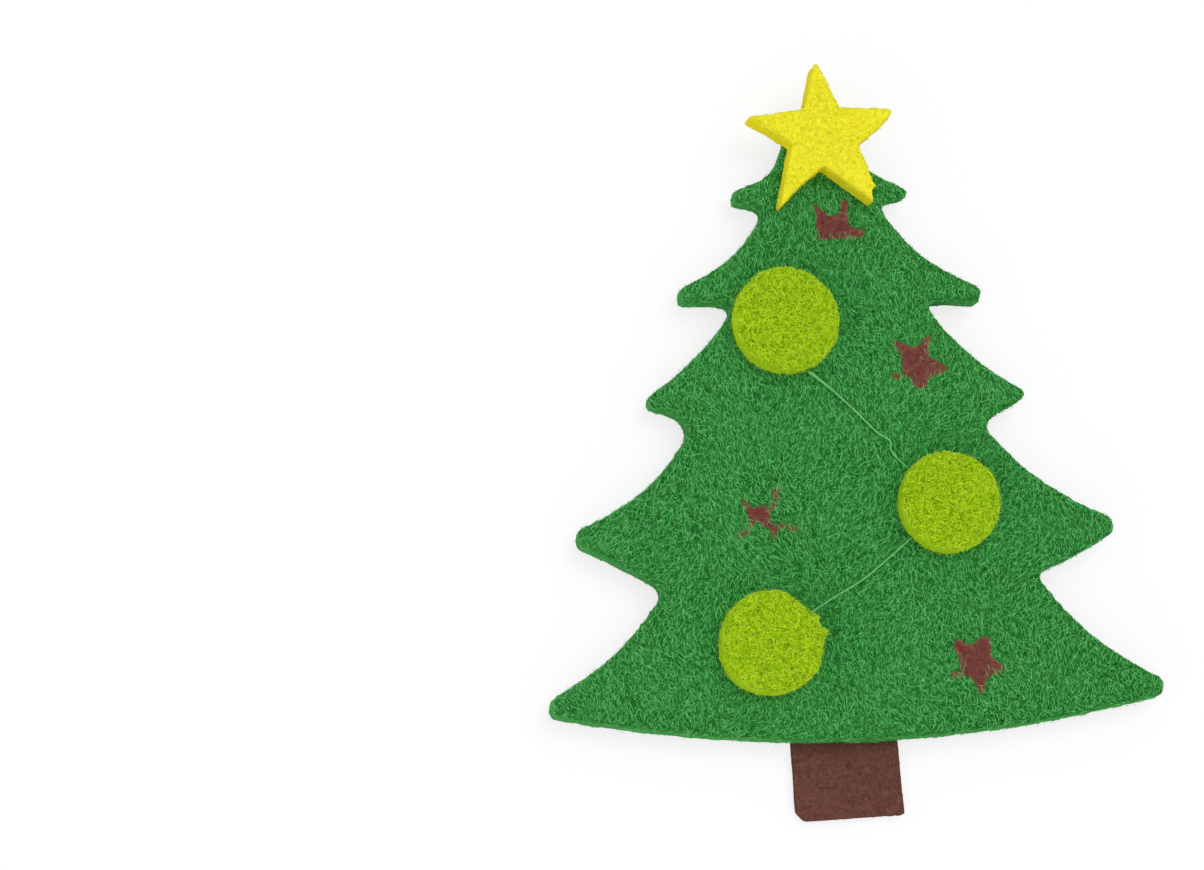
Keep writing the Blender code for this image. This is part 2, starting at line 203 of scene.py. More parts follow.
def seen_as_background(tree):
    """1 for the rays that see the background: straight, in a reflection or through something clear."""
    path = tree.nodes.new("ShaderNodeLightPath")
    seen = path.outputs["Is Camera Ray"]
    for name in ("Is Glossy Ray", "Is Transmission Ray"):
        most = tree.nodes.new("ShaderNodeMath")
        most.operation = "MAXIMUM"
        tree.links.new(seen, most.inputs[0])
        tree.links.new(path.outputs[name], most.inputs[1])
        seen = most.outputs[0]
    return seen


def make_light():
    world = bpy.data.worlds.new("white_studio")
    world.use_nodes = True
    bpy.context.scene.world = world
    tree = world.node_tree
    tree.nodes.clear()
    lit = tree.nodes.new("ShaderNodeBackground")
    lit.inputs["Strength"].default_value = WORLD_LIGHT
    seen = tree.nodes.new("ShaderNodeBackground")
    seen.inputs["Strength"].default_value = 1
    for shader in (lit, seen):
        shader.inputs["Color"].default_value = (1, 1, 1, 1)
    mix = tree.nodes.new("ShaderNodeMixShader")
    tree.links.new(seen_as_background(tree), mix.inputs[0])
    tree.links.new(lit.outputs[0], mix.inputs[1])
    tree.links.new(seen.outputs[0], mix.inputs[2])
    out = tree.nodes.new("ShaderNodeOutputWorld")
    tree.links.new(mix.outputs[0], out.inputs[0])
    for name, (strength, width, turn) in LAMPS.items():
        lamp = bpy.data.lights.new(name, "SUN")
        lamp.energy = strength
        lamp.angle = math.radians(width)
        holder = bpy.data.objects.new(name, lamp)
        holder.rotation_euler = [math.radians(angle) for angle in turn]
        bpy.context.scene.collection.objects.link(holder)


def make_floor():
    bm = bmesh.new()
    bmesh.ops.create_grid(bm, x_segments=1, y_segments=1, size=FLOOR_SIZE * MM / 2)
    mesh = bpy.data.meshes.new("floor")
    bm.to_mesh(mesh)
    bm.free()
    floor = bpy.data.objects.new("floor", mesh)
    floor.location.z = -FLOOR_DROP * MM
    bpy.context.scene.collection.objects.link(floor)
    material = bpy.data.materials.new("pale_floor")
    material.use_nodes = True
    tree = material.node_tree
    tree.nodes.clear()
    paper = tree.nodes.new("ShaderNodeBsdfDiffuse")
    paper.inputs["Color"].default_value = (FLOOR_WHITE, FLOOR_WHITE, FLOOR_WHITE, 1)
    shaded = tree.nodes.new("ShaderNodeBsdfDiffuse")
    shaded.inputs["Color"].default_value = (FLOOR_SEEN, FLOOR_SEEN, FLOOR_SEEN, 1)
    glow = tree.nodes.new("ShaderNodeEmission")
    glow.inputs["Strength"].default_value = FLOOR_GLOW
    seen = tree.nodes.new("ShaderNodeAddShader")
    tree.links.new(shaded.outputs[0], seen.inputs[0])
    tree.links.new(glow.outputs[0], seen.inputs[1])
    mix = tree.nodes.new("ShaderNodeMixShader")
    tree.links.new(seen_as_background(tree), mix.inputs[0])
    tree.links.new(paper.outputs[0], mix.inputs[1])
    tree.links.new(seen.outputs[0], mix.inputs[2])
    out = tree.nodes.new("ShaderNodeOutputMaterial")
    tree.links.new(mix.outputs[0], out.inputs["Surface"])
    mesh.materials.append(material)


# Materials

class Recipe:
    """Builds one material's nodes. A socket takes a number, a colour or another node's output."""

    def __init__(self, name, roughness, specular, **fixed):
        self.material = bpy.data.materials.new(name)
        self.material.use_nodes = True
        self.tree = self.material.node_tree
        self.shader = self.tree.nodes["Principled BSDF"]
        self.shader.inputs["Roughness"].default_value = roughness
        self.shader.inputs["Specular IOR Level"].default_value = specular
        for socket, value in fixed.items():
            self.shader.inputs[socket.replace("_", " ")].default_value = value
        self.where = self.add("ShaderNodeTexCoord").outputs["Object"]

    def add(self, kind, **settings):
        made = self.tree.nodes.new(kind)
        for name, value in settings.items():
            setattr(made, name, value)
        return made

    def feed(self, socket, value):
        if isinstance(value, bpy.types.NodeSocket):
            self.tree.links.new(value, socket)
        elif isinstance(value, tuple):
            socket.default_value = (*value, 1)
        else:
            socket.default_value = value

    def maths(self, operation, *values, clamp=False):
        made = self.add("ShaderNodeMath", operation=operation, use_clamp=clamp)
        for socket, value in zip(made.inputs, values):
            self.feed(socket, value)
        return made.outputs[0]

    def colour(self, factor, low, high):
        made = self.add("ShaderNodeMix", data_type="RGBA")
        self.feed(made.inputs[0], factor)
        self.feed(made.inputs[6], low)
        self.feed(made.inputs[7], high)
        return made.outputs[2]

    def cloud(self, size, detail=2.0, twist=0.0, shift=0.0):
        """Soft noise from 0 to 1 whose blots are about size millimetres across."""
        made = self.add("ShaderNodeTexNoise", noise_dimensions="4D")
        self.feed(made.inputs["Vector"], self.where)
        self.feed(made.inputs["Scale"], 1 / (size * MM))
        self.feed(made.inputs["Detail"], detail)
        self.feed(made.inputs["Distortion"], twist)
        self.feed(made.inputs["W"], shift)
        return made.outputs[0]

    def curls(self, size, thin, shift):
        """Thin winding lines, 1 along their middle, where the noise crosses its mean."""
        winding = self.cloud(size, detail=1.0, twist=0.6, shift=shift)
        off = self.maths("ABSOLUTE", self.maths("SUBTRACT", winding, 0.5))
        return self.maths("SUBTRACT", 1.0, self.maths("MULTIPLY", off, thin), clamp=True)

    def field(self, name):
        made = self.add("ShaderNodeAttribute", attribute_name=name)
        return made.outputs["Fac"]

    def step(self, value, low, high):
        made = self.add("ShaderNodeMapRange", interpolation_type="SMOOTHSTEP")
        self.feed(made.inputs["Value"], value)
        self.feed(made.inputs["From Min"], low)
        self.feed(made.inputs["From Max"], high)
        return made.outputs[0]

    def patched(self, colour, light, share):
        """The colour, with a share of the light one in broad soft patches."""
        patches = self.step(self.cloud(PATCH_SIZE, detail=2, shift=10), 0.25, 0.75)
        return self.colour(patches, colour, self.colour(share, colour, light))

    def finish(self, colour, height, depth, strength, roughness=None):
        """The material, with bumps of this depth in millimetres."""
        self.feed(self.shader.inputs["Base Color"], colour)
        if roughness is not None:
            self.feed(self.shader.inputs["Roughness"], roughness)
        bump = self.add("ShaderNodeBump")
        self.feed(bump.inputs["Height"], height)
        self.feed(bump.inputs["Distance"], depth * MM)
        self.feed(bump.inputs["Strength"], strength)
        self.feed(self.shader.inputs["Normal"], bump.outputs[0])
        return self.material


# The felt's light patches, the ink with its ragged edge and how much of the felt it covers, how much a
# fibre's tone wanders along it, how much darker the painted light on cut walls is in random streaks, and the
# glue
PATCH_SIZE = 9
INK_DEEP = (0.135, 0.026, 0.028)
INK_LIGHT = (0.300, 0.072, 0.075)
INK_RAGGED = 0.9
INK_EDGE = (-0.04, 0.10)
INK_COVER = 0.92
TONE_WANDER = 0.35
TONE_SHIFT = 0.17
WALL_WORN = 0.75
# The glue's greens are painted light: they stand for the felt's green seen through the clear glue
GLUE_DEEP = (0.14, 0.58, 0.18)
GLUE_PALE = (0.32, 0.85, 0.36)


def inked(recipe, colour):
    """Dark red ink where the ink field is above 0, ragged at its edge and thin in places."""
    off = recipe.maths("SUBTRACT", recipe.cloud(0.35, detail=2, twist=0.5, shift=4), 0.5)
    ragged = recipe.maths("MULTIPLY", off, INK_RAGGED)
    edge = recipe.step(recipe.maths("ADD", recipe.field("ink"), ragged), *INK_EDGE)
    red = recipe.colour(recipe.cloud(0.3, detail=2, twist=1, shift=5), INK_DEEP, INK_LIGHT)
    return recipe.colour(recipe.maths("MULTIPLY", edge, INK_COVER), colour, red)


def ground_material(name, shaded_depth, middle, light, wall, pits=0.9, printed=False):
    """The felt under the loose fibres: winding strands over a darker depth, whose colour is painted shade
    between the strands, and pits from the needles, darkened with the same painted shade.
    """
    recipe = Recipe(name, roughness=0.95, specular=0.05, Sheen_Weight=0.25, Sheen_Tint=(*light, 1))
    strands = recipe.maths("MAXIMUM", recipe.curls(1.3, thin=11, shift=1), recipe.curls(0.8, thin=9, shift=2))
    strands = recipe.maths("MAXIMUM", strands, recipe.curls(0.5, thin=7, shift=3))
    # Strands in the middle colour over the depth's painted shade
    colour = recipe.colour(strands, shaded_depth, middle)
    bright = recipe.maths("MULTIPLY", recipe.curls(0.9, thin=14, shift=6), 0.6)
    colour = recipe.colour(bright, colour, light)
    # Painted shade in the needle pits: small spots in the depth's dark colour
    dark = recipe.maths("MULTIPLY", recipe.step(recipe.cloud(0.25, detail=1, shift=8), 0.52, 0.64), pits)
    colour = recipe.colour(dark, colour, shaded_depth)
    if printed:
        colour = inked(recipe, colour)
    # Painted light on the cut walls: in random patches their colour is lighter than the face on the green and
    # lime felt, as if lit as brightly, and orange on the yellow and darker on the brown, as walls in shade,
    # dimmed in random streaks
    whole = recipe.step(recipe.cloud(0.8, detail=3, shift=9), 0.10, 0.50)
    cut = recipe.maths("MULTIPLY", recipe.field("wall"), whole)
    streaked_painted_wall = tuple(WALL_WORN * value for value in wall)
    colour = recipe.colour(
        cut, colour, recipe.colour(recipe.cloud(0.5, detail=3, twist=1, shift=11), streaked_painted_wall, wall)
    )
    colour = recipe.patched(colour, light, 0.10)
    return recipe.finish(colour, strands, depth=0.10, strength=0.6)


def fibre_material(name, dark, light):
    """Loose fibres: each has its own tone, and it varies a little along its length. On the green, lime and
    yellow felt the dark tones are painted shade on fibres that lie deep, and the light tones are painted
    light on those on top.
    """
    recipe = Recipe(name, roughness=0.85, specular=0.08, Sheen_Weight=0.15, Sheen_Tint=(*light, 1))
    wander = recipe.maths("MULTIPLY", recipe.cloud(0.6, detail=2), TONE_WANDER)
    own = recipe.maths("ADD", recipe.field("tone"), wander)
    colour = recipe.colour(recipe.maths("SUBTRACT", own, TONE_SHIFT, clamp=True), dark, light)
    colour = recipe.patched(colour, light, 0.12)
    return recipe.finish(colour, recipe.cloud(0.12, detail=3), depth=0.01, strength=0.3)


def glue_material(name):
    """Hot-melt glue: cloudy, pale and slightly uneven, half clear so that the felt's green shows through, and
    tinted green as well, which is painted light: the felt seen through it.
    """
    recipe = Recipe(name, roughness=0.4, specular=0.2, Transmission_Weight=0.5, IOR=1.48)
    cloudy = recipe.cloud(0.7, detail=3, twist=0.4)
    colour = recipe.colour(cloudy, GLUE_DEEP, GLUE_PALE)
    shine = recipe.step(recipe.cloud(1.1, detail=2, shift=3), 0.2, 0.8)
    roughness = recipe.maths("ADD", recipe.maths("MULTIPLY", shine, 0.2), 0.3)
    return recipe.finish(colour, cloudy, depth=0.05, strength=0.4, roughness=roughness)


# Meshes from numbers

def make_mesh(name, points, triangles):
    """A mesh of triangles from arrays of places in millimetres and of corners."""
    mesh = bpy.data.meshes.new(name)
    mesh.vertices.add(len(points))
    mesh.vertices.foreach_set("co", (points * MM).astype(np.float32).ravel())
    mesh.loops.add(triangles.size)
    mesh.loops.foreach_set("vertex_index", triangles.astype(np.int32).ravel())
    mesh.polygons.add(len(triangles))
    mesh.polygons.foreach_set("loop_start", np.arange(0, triangles.size, 3, dtype=np.int32))
    mesh.update(calc_edges=True)
    mesh.shade_smooth()
    return mesh


def add_field(mesh, name, values):
    field = mesh.attributes.new(name, "FLOAT", "POINT")
    field.data.foreach_set("value", np.asarray(values, np.float32))


def add_bake_map(mesh, places):
    layer = mesh.uv_layers.new(name="OFBake")
    layer.data.foreach_set("uv", places.astype(np.float32).ravel())


def place_piece(name, mesh, material):
    """Puts a finished mesh in the scene as a piece that rides on the tree."""
    mesh.materials.append(material)
    piece = bpy.data.objects.new(name, mesh)
    bpy.context.scene.collection.objects.link(piece)
    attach(piece, "root")
    return piece


def unit(vectors):
    return vectors / np.maximum(np.linalg.norm(vectors, axis=-1, keepdims=True), 1e-9)


# Outlines taken from the frame

def outline_of(node, height):
    """The outer edge of a CAD node's flat face at this height, as points in order, anticlockwise."""
    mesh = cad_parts[node].data
    places = [tuple(round(c / MM, 4) for c in vertex.co) for vertex in mesh.vertices]
    edges = set()
    for face in mesh.polygons:
        corners = [places[i] for i in face.vertices]
        if face.normal.z > 0.9 and all(abs(corner[2] - height) < TOUCH for corner in corners):
            for edge in zip(corners, corners[1:] + corners[:1]):
                if edge[::-1] in edges:
                    edges.remove(edge[::-1])
                else:
                    edges.add(edge)
    after = dict(edges)
    loops = []
    while after:
        start, place = after.popitem()
        loop = [start]
        while place != start:
            loop.append(place)
            place = after.pop(place)
        loops.append(np.array(loop)[:, :2])
    return max(loops, key=lambda loop: abs(area_of(loop)))


def area_of(loop):
    x, y = loop.T
    return float(np.sum(x * np.roll(y, -1) - y * np.roll(x, -1))) / 2


def recut(outline, corners):
    """The outline with its stretch near these corners replaced by them."""
    corners = np.array(corners)
    ends = corners[[0, -1]]
    middle = ends.mean(axis=0)
    reach = np.linalg.norm(ends - middle, axis=1).max() + TIP_REACH
    away = np.linalg.norm(outline - middle, axis=1) > reach
    first = np.flatnonzero(away & ~np.roll(away, 1))[0]
    kept = np.roll(outline, -first, axis=0)[np.roll(away, -first)]
    return np.concatenate([kept, corners])


def depth_in(loop, places):
    """How far each place (n x 2) lies inside a closed outline, below 0 outside it."""
    ends = np.roll(loop, -1, axis=0)
    runs = ends - loop
    depths = np.empty(len(places))
    for first in range(0, len(places), AT_ONCE):
        part = places[first:first + AT_ONCE, None, :]
        share = np.clip(((part - loop) * runs).sum(-1) / (runs**2).sum(-1), 0, 1)
        near = np.linalg.norm(loop + share[..., None] * runs - part, axis=-1).min(axis=1)
        x, y = part[..., 0], part[..., 1]
        spans = (loop[:, 1] > y) != (ends[:, 1] > y)
        with np.errstate(divide="ignore", invalid="ignore"):
            cross = loop[:, 0] + (y - loop[:, 1]) / runs[:, 1] * runs[:, 0]
        inside = (spans & (x < cross)).sum(axis=1) % 2 == 1
        depths[first:first + AT_ONCE] = np.where(inside, near, -near)
    return depths


def node_box(node):
    low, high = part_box(node)
    return np.array(low) / MM, np.array(high) / MM


# Felt pieces

class Felt:
    """One piece cut from a felt sheet: its skin in millimetres, and a tree to find places on it."""

    def __init__(self, name, outline, low, high, voxel, rounded, relief, seed):
        self.name, self.outline, self.low, self.high = name, outline, low, high
        self.points, self.faces = self.cut_out(voxel)
        self.round_rim(rounded)
        self.points += self.bumps(relief, seed)
        self.measure()

    def cut_out(self, voxel):
        """The outline as a sheet of small, even faces with slightly softened edges."""
        bm = bmesh.new()
        bottom = bm.faces.new([bm.verts.new((x, y, self.low)) for x, y in self.outline])
        raised = bmesh.ops.extrude_face_region(bm, geom=[bottom])
        top = [item for item in raised["geom"] if isinstance(item, bmesh.types.BMVert)]
        bmesh.ops.translate(bm, verts=top, vec=(0, 0, self.high - self.low))
        bmesh.ops.recalc_face_normals(bm, faces=bm.faces)
        mesh = bpy.data.meshes.new(self.name)
        bm.to_mesh(mesh)
        bm.free()
        rough = bpy.data.objects.new(self.name, mesh)
        bpy.context.scene.collection.objects.link(rough)
        even = rough.modifiers.new("even", "REMESH")
        even.mode = "VOXEL"
        even.voxel_size = voxel
        soften = rough.modifiers.new("soften", "SMOOTH")
        soften.iterations = 1
        done = rough.evaluated_get(bpy.context.evaluated_depsgraph_get()).to_mesh()
        points = np.empty(len(done.vertices) * 3, np.float32)
        done.vertices.foreach_get("co", points)
        corners = np.empty(len(done.loops), np.int32)
        done.loops.foreach_get("vertex_index", corners)
        rough.to_mesh_clear()
        bpy.data.objects.remove(rough)
        bpy.data.meshes.remove(mesh)
        return points.reshape(-1, 3).astype(float), corners.reshape(-1, 4)

    def round_rim(self, radius):
        """Lowers the front near the outline, so that its edge is a quarter round."""
        short = np.clip(radius - depth_in(self.outline, self.points[:, :2]), 0, radius)
        drop = radius - np.sqrt(radius**2 - short**2)
        middle = (self.low + self.high) / 2
        above = np.maximum(self.points[:, 2] - middle, 0)
        self.points[:, 2] -= above * drop / (self.high - middle)

    def bumps(self, relief, seed):
        normals = self.point_normals()
        heights = np.zeros(len(self.points))
        for height, length in relief:
            shift = Vector((seed, SEED_STRIDE * seed, -seed))
            waves = [noise.noise(Vector(place) / length + shift) for place in self.points]
            heights += height * np.array(waves)
        return normals * heights[:, None]

    def point_normals(self):
        a, b, c, d = (self.points[self.faces[:, i]] for i in range(4))
        face_normals = np.cross(c - a, d - b)
        normals = np.zeros_like(self.points)
        for i in range(4):
            np.add.at(normals, self.faces[:, i], face_normals)
        return unit(normals)

    def measure(self):
        a, b, c, d = (self.points[self.faces[:, i]] for i in range(4))
        crossed = np.cross(c - a, d - b)
        self.areas = np.linalg.norm(crossed, axis=1) / 2
        self.normals = unit(crossed)
        self.centres = (a + b + c + d) / 4
        self.tree = BVHTree.FromPolygons(self.points.tolist(), self.faces.tolist())

    def press(self, centre, radius, depth):
        """Presses a round hollow into the front, where glue sits."""
        near = np.linalg.norm(self.points[:, :2] - centre, axis=1)
        front = self.points[:, 2] > (self.low + self.high) / 2
        self.points[:, 2] -= np.where(front & (near < radius), depth, 0)

    def triangles(self):
        a, b, c, d = self.faces.T
        return np.stack([np.stack([a, b, c], 1), np.stack([a, c, d], 1)], 1).reshape(-1, 3)

    def bake_map(self, triangles):
        """Front and back side by side, and the cut wall unrolled in rows over them."""
        gap, steep = 1.0, 0.5
        low, high = self.points.min(axis=0), self.points.max(axis=0)
        width, height = high[0] - low[0], high[1] - low[1]
        ends = np.roll(self.outline, -1, axis=0)
        runs = ends - self.outline
        lengths = np.linalg.norm(runs, axis=1)
        starts = np.cumsum(lengths) - lengths
        row = 2 * width
        rows = math.ceil(lengths.sum() / row) + 1
        tall = high[2] - low[2] + gap
        scale = max(row + 4 * gap, height + 3 * gap + rows * tall)
        corners = self.points[triangles]
        middles = corners.mean(axis=1)
        crossed = np.cross(corners[:, 1] - corners[:, 0], corners[:, 2] - corners[:, 0])
        upward = unit(crossed)[:, 2]
        places = np.empty((len(triangles), 3, 2))
        places[..., 0] = corners[..., 0] - low[0] + gap
        places[..., 1] = corners[..., 1] - low[1] + gap
        back = upward < -steep
        places[back, :, 0] = high[0] - corners[back][..., 0] + width + 2 * gap
        wall = np.flatnonzero(np.abs(upward) <= steep)
        for first in range(0, len(wall), AT_ONCE):
            part = wall[first:first + AT_ONCE]
            at = middles[part, None, :2]
            share = np.clip(((at - self.outline) * runs).sum(-1) / lengths**2, 0, 1)
            off = np.linalg.norm(self.outline + share[..., None] * runs - at, axis=-1)
            side = off.argmin(axis=1)
            along = runs[side] / lengths[side, None]
            reach = starts[side] + share[np.arange(len(part)), side] * lengths[side]
            which = np.floor(reach / row)
            ahead = ((corners[part][..., :2] - middles[part, None, :2]) * along[:, None, :]).sum(-1)
            places[part, :, 0] = (reach - which * row)[:, None] + ahead + 2 * gap
            up = corners[part][..., 2] - low[2]
            places[part, :, 1] = height + 2 * gap + which[:, None] * tall + up
        return places / scale

    def build(self, material, slot, *nodes, ink=None):
        """Makes the piece and lets it stand for its CAD nodes."""
        triangles = self.triangles()
        mesh = make_mesh(self.name, self.points, triangles)
        add_bake_map(mesh, self.bake_map(triangles))
        # The wall field marks the cut walls, where the ground materials put painted light
        add_field(mesh, "wall", 1 - np.clip(np.abs(self.point_normals()[:, 2]) * WALL_FADE, 0, 1))
        if ink is not None:
            add_field(mesh, "ink", ink(self.points))
        piece = place_piece(self.name, mesh, material)
        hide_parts(*nodes)


# Fibres

def turned(vector, axis, angle):
    return vector * math.cos(angle) + axis.cross(vector) * math.sin(angle)


def grain_heading(place, normal, grain, rng):
    """A way to set off along the skin: any way, or near the felt's own grain."""
    if rng.uniform() < grain:
        swing = GRAIN_SWING * noise.noise(place / GRAIN_LENGTH)
        angle = math.radians(GRAIN_TURN + swing) + rng.normal(0, GRAIN_SPREAD)
    else:
        angle = rng.uniform(0, 2 * math.pi)
    side = Vector((1, 0, 0)) if abs(normal.x) < 0.8 else Vector((0, 1, 0))
    side = (side - normal * side.dot(normal)).normalized()
    return turned(side, normal, angle)


def even_starts(felt, share, count, rng):
    """Faces picked by their share, spread evenly along narrow rows across the felt."""
    order = np.lexsort((felt.centres[:, 0], np.floor(felt.centres[:, 1] / START_ROW)))
    reach = np.cumsum(share[order])
    picks = (np.arange(count) + rng.uniform(size=count)) * reach[-1] / count
    return order[np.minimum(np.searchsorted(reach, picks), len(order) - 1)]


def laid_fibres(felt, weights, kind, rng):
    """Curled fibres of one kind that follow the skin; weights thin them out on some faces."""
    share = weights * felt.areas
    count = round(kind.dense * share.sum())
    curl = kind.curl
    starts = even_starts(felt, share, count, rng)
    lines = np.empty((count, STOPS, 3))
    ups = np.empty((count, STOPS, 3))
    rise = np.sin(np.linspace(0, math.pi, STOPS))
    for i, face in enumerate(starts):
        corners = felt.points[felt.faces[face]]
        share = rng.dirichlet((1, 1, 1, 1))
        place = Vector(share @ corners)
        normal = Vector(felt.normals[face])
        heading = grain_heading(place, normal, kind.grain, rng)
        step = rng.uniform(*kind.lengths) / (STOPS - 1)
        bend = rng.normal(0, curl)
        top = rng.uniform(*kind.lift)
        for k in range(STOPS):
            lines[i, k] = place + normal * (top * rise[k] - ROOT_DEPTH)
            ups[i, k] = normal
            heading = turned(heading, normal, bend + rng.normal(0, curl / 2))
            bend += rng.normal(0, curl / 3)
            ahead = felt.tree.find_nearest(place + heading * step)
            place, normal = ahead[0], ahead[1]
            heading = (heading - normal * heading.dot(normal)).normalized()
    radii = rng.uniform(*kind.radii, count)
    tones = np.clip(rng.normal(*kind.tone, count), 0, 1)
    return lines, ups, radii, tones


def several_kinds(felt, weights, kinds, rng):
    made = [laid_fibres(felt, weights, kind, rng) for kind in kinds]
    return tuple(np.concatenate(parts) for parts in zip(*made))


def fuzz_fibres(felt, weights, fuzz, rng):
    """Loose ends that stand off the skin and curl in the air."""
    count = fuzz.count
    starts = rng.choice(len(felt.faces), count, p=weights / weights.sum())
    place = felt.centres[starts] - felt.normals[starts] * ROOT_DEPTH
    away = unit(felt.normals[starts] + rng.normal(0, fuzz.lean, (count, 3)))
    step = rng.uniform(*fuzz.lengths, (count, 1)) / (STOPS - 1)
    drift = rng.normal(0, FUZZ_BEND, (count, 3))
    lines = np.empty((count, STOPS, 3))
    for k in range(STOPS):
        lines[:, k] = place
        place = place + away * step
        away = unit(away + drift + rng.normal(0, FUZZ_WAVER, (count, 3)))
    # Any direction across an end will do as its upper side
    across = unit(np.cross(away, away[:, ::-1] + 0.1))
    ups = np.repeat(across[:, None, :], STOPS, axis=1)
    radii = rng.uniform(*fuzz.radii, count)
    tones = np.clip(rng.normal(*FUZZ_TONE, count), 0, 1)
    return lines, ups, radii, tones


def fibre_template():
    """Corner numbers and map places of one fibre: a tip, rings of SIDES points, and a tip."""
    rings = STOPS - 2
    last = 1 + rings * SIDES
    triangles, places = [], []
    for side in range(SIDES):
        after = (side + 1) % SIDES
        low, high = side / SIDES, (side + 1) / SIDES
        middle = (low + high) / 2
        triangles.append((0, 1 + after, 1 + side))
        places.append(((0, middle), (1, high), (1, low)))
        for ring in range(rings - 1):
            a, b = 1 + ring * SIDES + side, 1 + ring * SIDES + after
            triangles.append((a, b, b + SIDES))
            places.append(((ring + 1, low), (ring + 1, high), (ring + 2, high)))
            triangles.append((a, b + SIDES, a + SIDES))
            places.append(((ring + 1, low), (ring + 2, high), (ring + 2, low)))
        final = 1 + (rings - 1) * SIDES
        triangles.append((final + side, final + after, last))
        places.append(((rings, low), (rings, high), (rings + 1, middle)))
    places = np.array(places, float)
    places[..., 0] /= STOPS - 1
    return np.array(triangles), places


def fibre_mesh(name, lines, ups, radii, tones):
    """One mesh of pointed fibres, each with its own cell in the bake map."""
    count = len(lines)
    along = unit(np.gradient(lines, axis=1))
    side = unit(np.cross(along, ups))
    up = np.cross(side, along)
    angles = np.arange(SIDES) * 2 * math.pi / SIDES
    ring = np.cos(angles)[:, None] * up[:, :, None] + np.sin(angles)[:, None] * side[:, :, None]
    swell = np.sin(np.linspace(0, math.pi, STOPS))[1:-1] ** TIP_POWER
    width = radii[:, None, None, None] * swell[None, :, None, None]
    middle = (lines[:, 1:-1, None] + ring[:, 1:-1] * width).reshape(count, -1, 3)
    points = np.concatenate([lines[:, :1], middle, lines[:, -1:]], axis=1)
    triangles, places = fibre_template()
    numbers = triangles[None] + np.arange(count)[:, None, None] * points.shape[1]
    mesh = make_mesh(name, points.reshape(-1, 3), numbers.reshape(-1, 3))
    columns = math.ceil(math.sqrt(count / 3))
    rows = math.ceil(count / columns)
    cell = np.stack([np.arange(count) % columns, np.arange(count) // columns], 1)
    within = places[None] * (1 - 2 * CELL_MARGIN) + CELL_MARGIN
    add_bake_map(mesh, (within + cell[:, None, None, :]) / np.array((columns, rows)))
    add_field(mesh, "tone", np.repeat(tones, points.shape[1]))
    return mesh


def place_fibres(name, fibres, material):
    """Fibres as pieces, cut into bands from low to high where there are many."""
    order = np.argsort(fibres[0][:, 0, 1])
    parts = np.array_split(order, math.ceil(len(order) / MOST_IN_ONE))
    for number, part in enumerate(parts, 1):
        label = name if len(parts) == 1 else f"{name}_{number}"
        mesh = fibre_mesh(label, *(values[part] for values in fibres))
        place_piece(label, mesh, material)


def facing(felt, front, back, wall):
    """Weights of a piece's faces by the way that they face."""
    up = felt.normals[:, 2]
    return np.where(up > FLAT_UP, front, np.where(up < -FLAT_UP, back, wall)).astype(float)


def rim(felt, upper=1.0, lower=0.5):
    """Weights that pick the soft edges of the cut."""
    up = felt.normals[:, 2]
    turning = (np.abs(up) > RIM_UP[0]) & (np.abs(up) < RIM_UP[1])
    above = turning & (up > 0) & (felt.centres[:, 2] > felt.high - RIM_REACH)
    below = turning & (up < 0) & (felt.centres[:, 2] < felt.low + RIM_REACH)
    return above * upper + below * lower


# The printed stars

# How far from its middle a print reaches and how far its ink spreads. The ink field is the depth inside
# a print, up to a most in full and in faint ink, and all fibres are inked from FULL_DEPTH on, where few
# green ones are left. Streaks of noise wear each print.
PRINT_NEAR = 6
INK_SPREAD = 0.02
INK_DEPTH = 0.60
FAINT_DEPTH = 0.08
FULL_DEPTH = 0.25
LEFT_GREEN = 0.03
FIBRE_OVERHANG = 0.06
STREAK_LENGTH = 0.6
STREAK_LAYER = 2.3
STREAK_WEAR = {"top": 0.10, "right": 0.05, "left": 0.22, "base": 0.12}

# Outlines of the full ink, in millimetres from each star's middle: none of the four came out whole
FULL_INK = {
    "top": ((
        (4.3, -1.05), (4.3, -0.4), (2.15, 0.05), (2.1, 2.0), (2.4, 3.7), (1.4, 3.6), (1.0, 2.3), (0.3, 1.5),
        (-0.6, 1.7), (-1.2, 2.2), (-2.1, 2.9), (-3.0, 3.7), (-2.35, 2.0), (-2.45, -1.75), (3.2, -1.65),
    ),),
    "right": ((
        (4.4, -0.8), (3.0, 0.55), (1.8, 1.0), (1.85, 2.3), (2.35, 3.4), (2.05, 4.05), (1.3, 3.6), (0.5, 2.7),
        (-0.25, 2.45), (-1.3, 2.75), (-2.5, 3.45), (-3.3, 3.4), (-2.4, 2.0), (-1.95, 1.0), (-2.1, 0.0),
        (-2.0, -1.5), (-0.95, -1.9), (-0.85, -2.85), (0.2, -3.4), (1.2, -2.95), (1.5, -1.8), (3.4, -1.25),
    ),),
    "left": (
        ((0.90, -1.0), (0.95, 1.9), (0.1, 2.0), (-1.4, 1.8), (-2.6, 3.1), (-2.95, 2.9), (-2.15, 1.2),
         (-2.2, -1.0), (-1.45, -0.95), (-1.25, -0.1), (-0.4, 0.0), (-0.2, -1.0)),
        ((0.5, -0.7), (1.2, -3.0), (1.8, -0.8)),
    ),
    "base": ((
        (4.4, -0.5), (3.8, 0.0), (2.6, 1.0), (2.7, 3.4), (1.8, 3.8), (0.9, 3.45), (0.3, 2.9), (-0.6, 2.75),
        (-1.2, 3.3), (-2.2, 3.6), (-2.5, 2.5), (-1.85, 0.7), (-1.9, -0.7), (-3.4, -0.85), (-3.1, -1.8),
        (-1.9, -1.6), (-0.4, -1.65), (0.4, -3.6), (0.85, -4.3), (1.35, -3.0), (1.5, -1.95), (2.6, -1.5),
        (3.7, -1.1),
    ),),
}

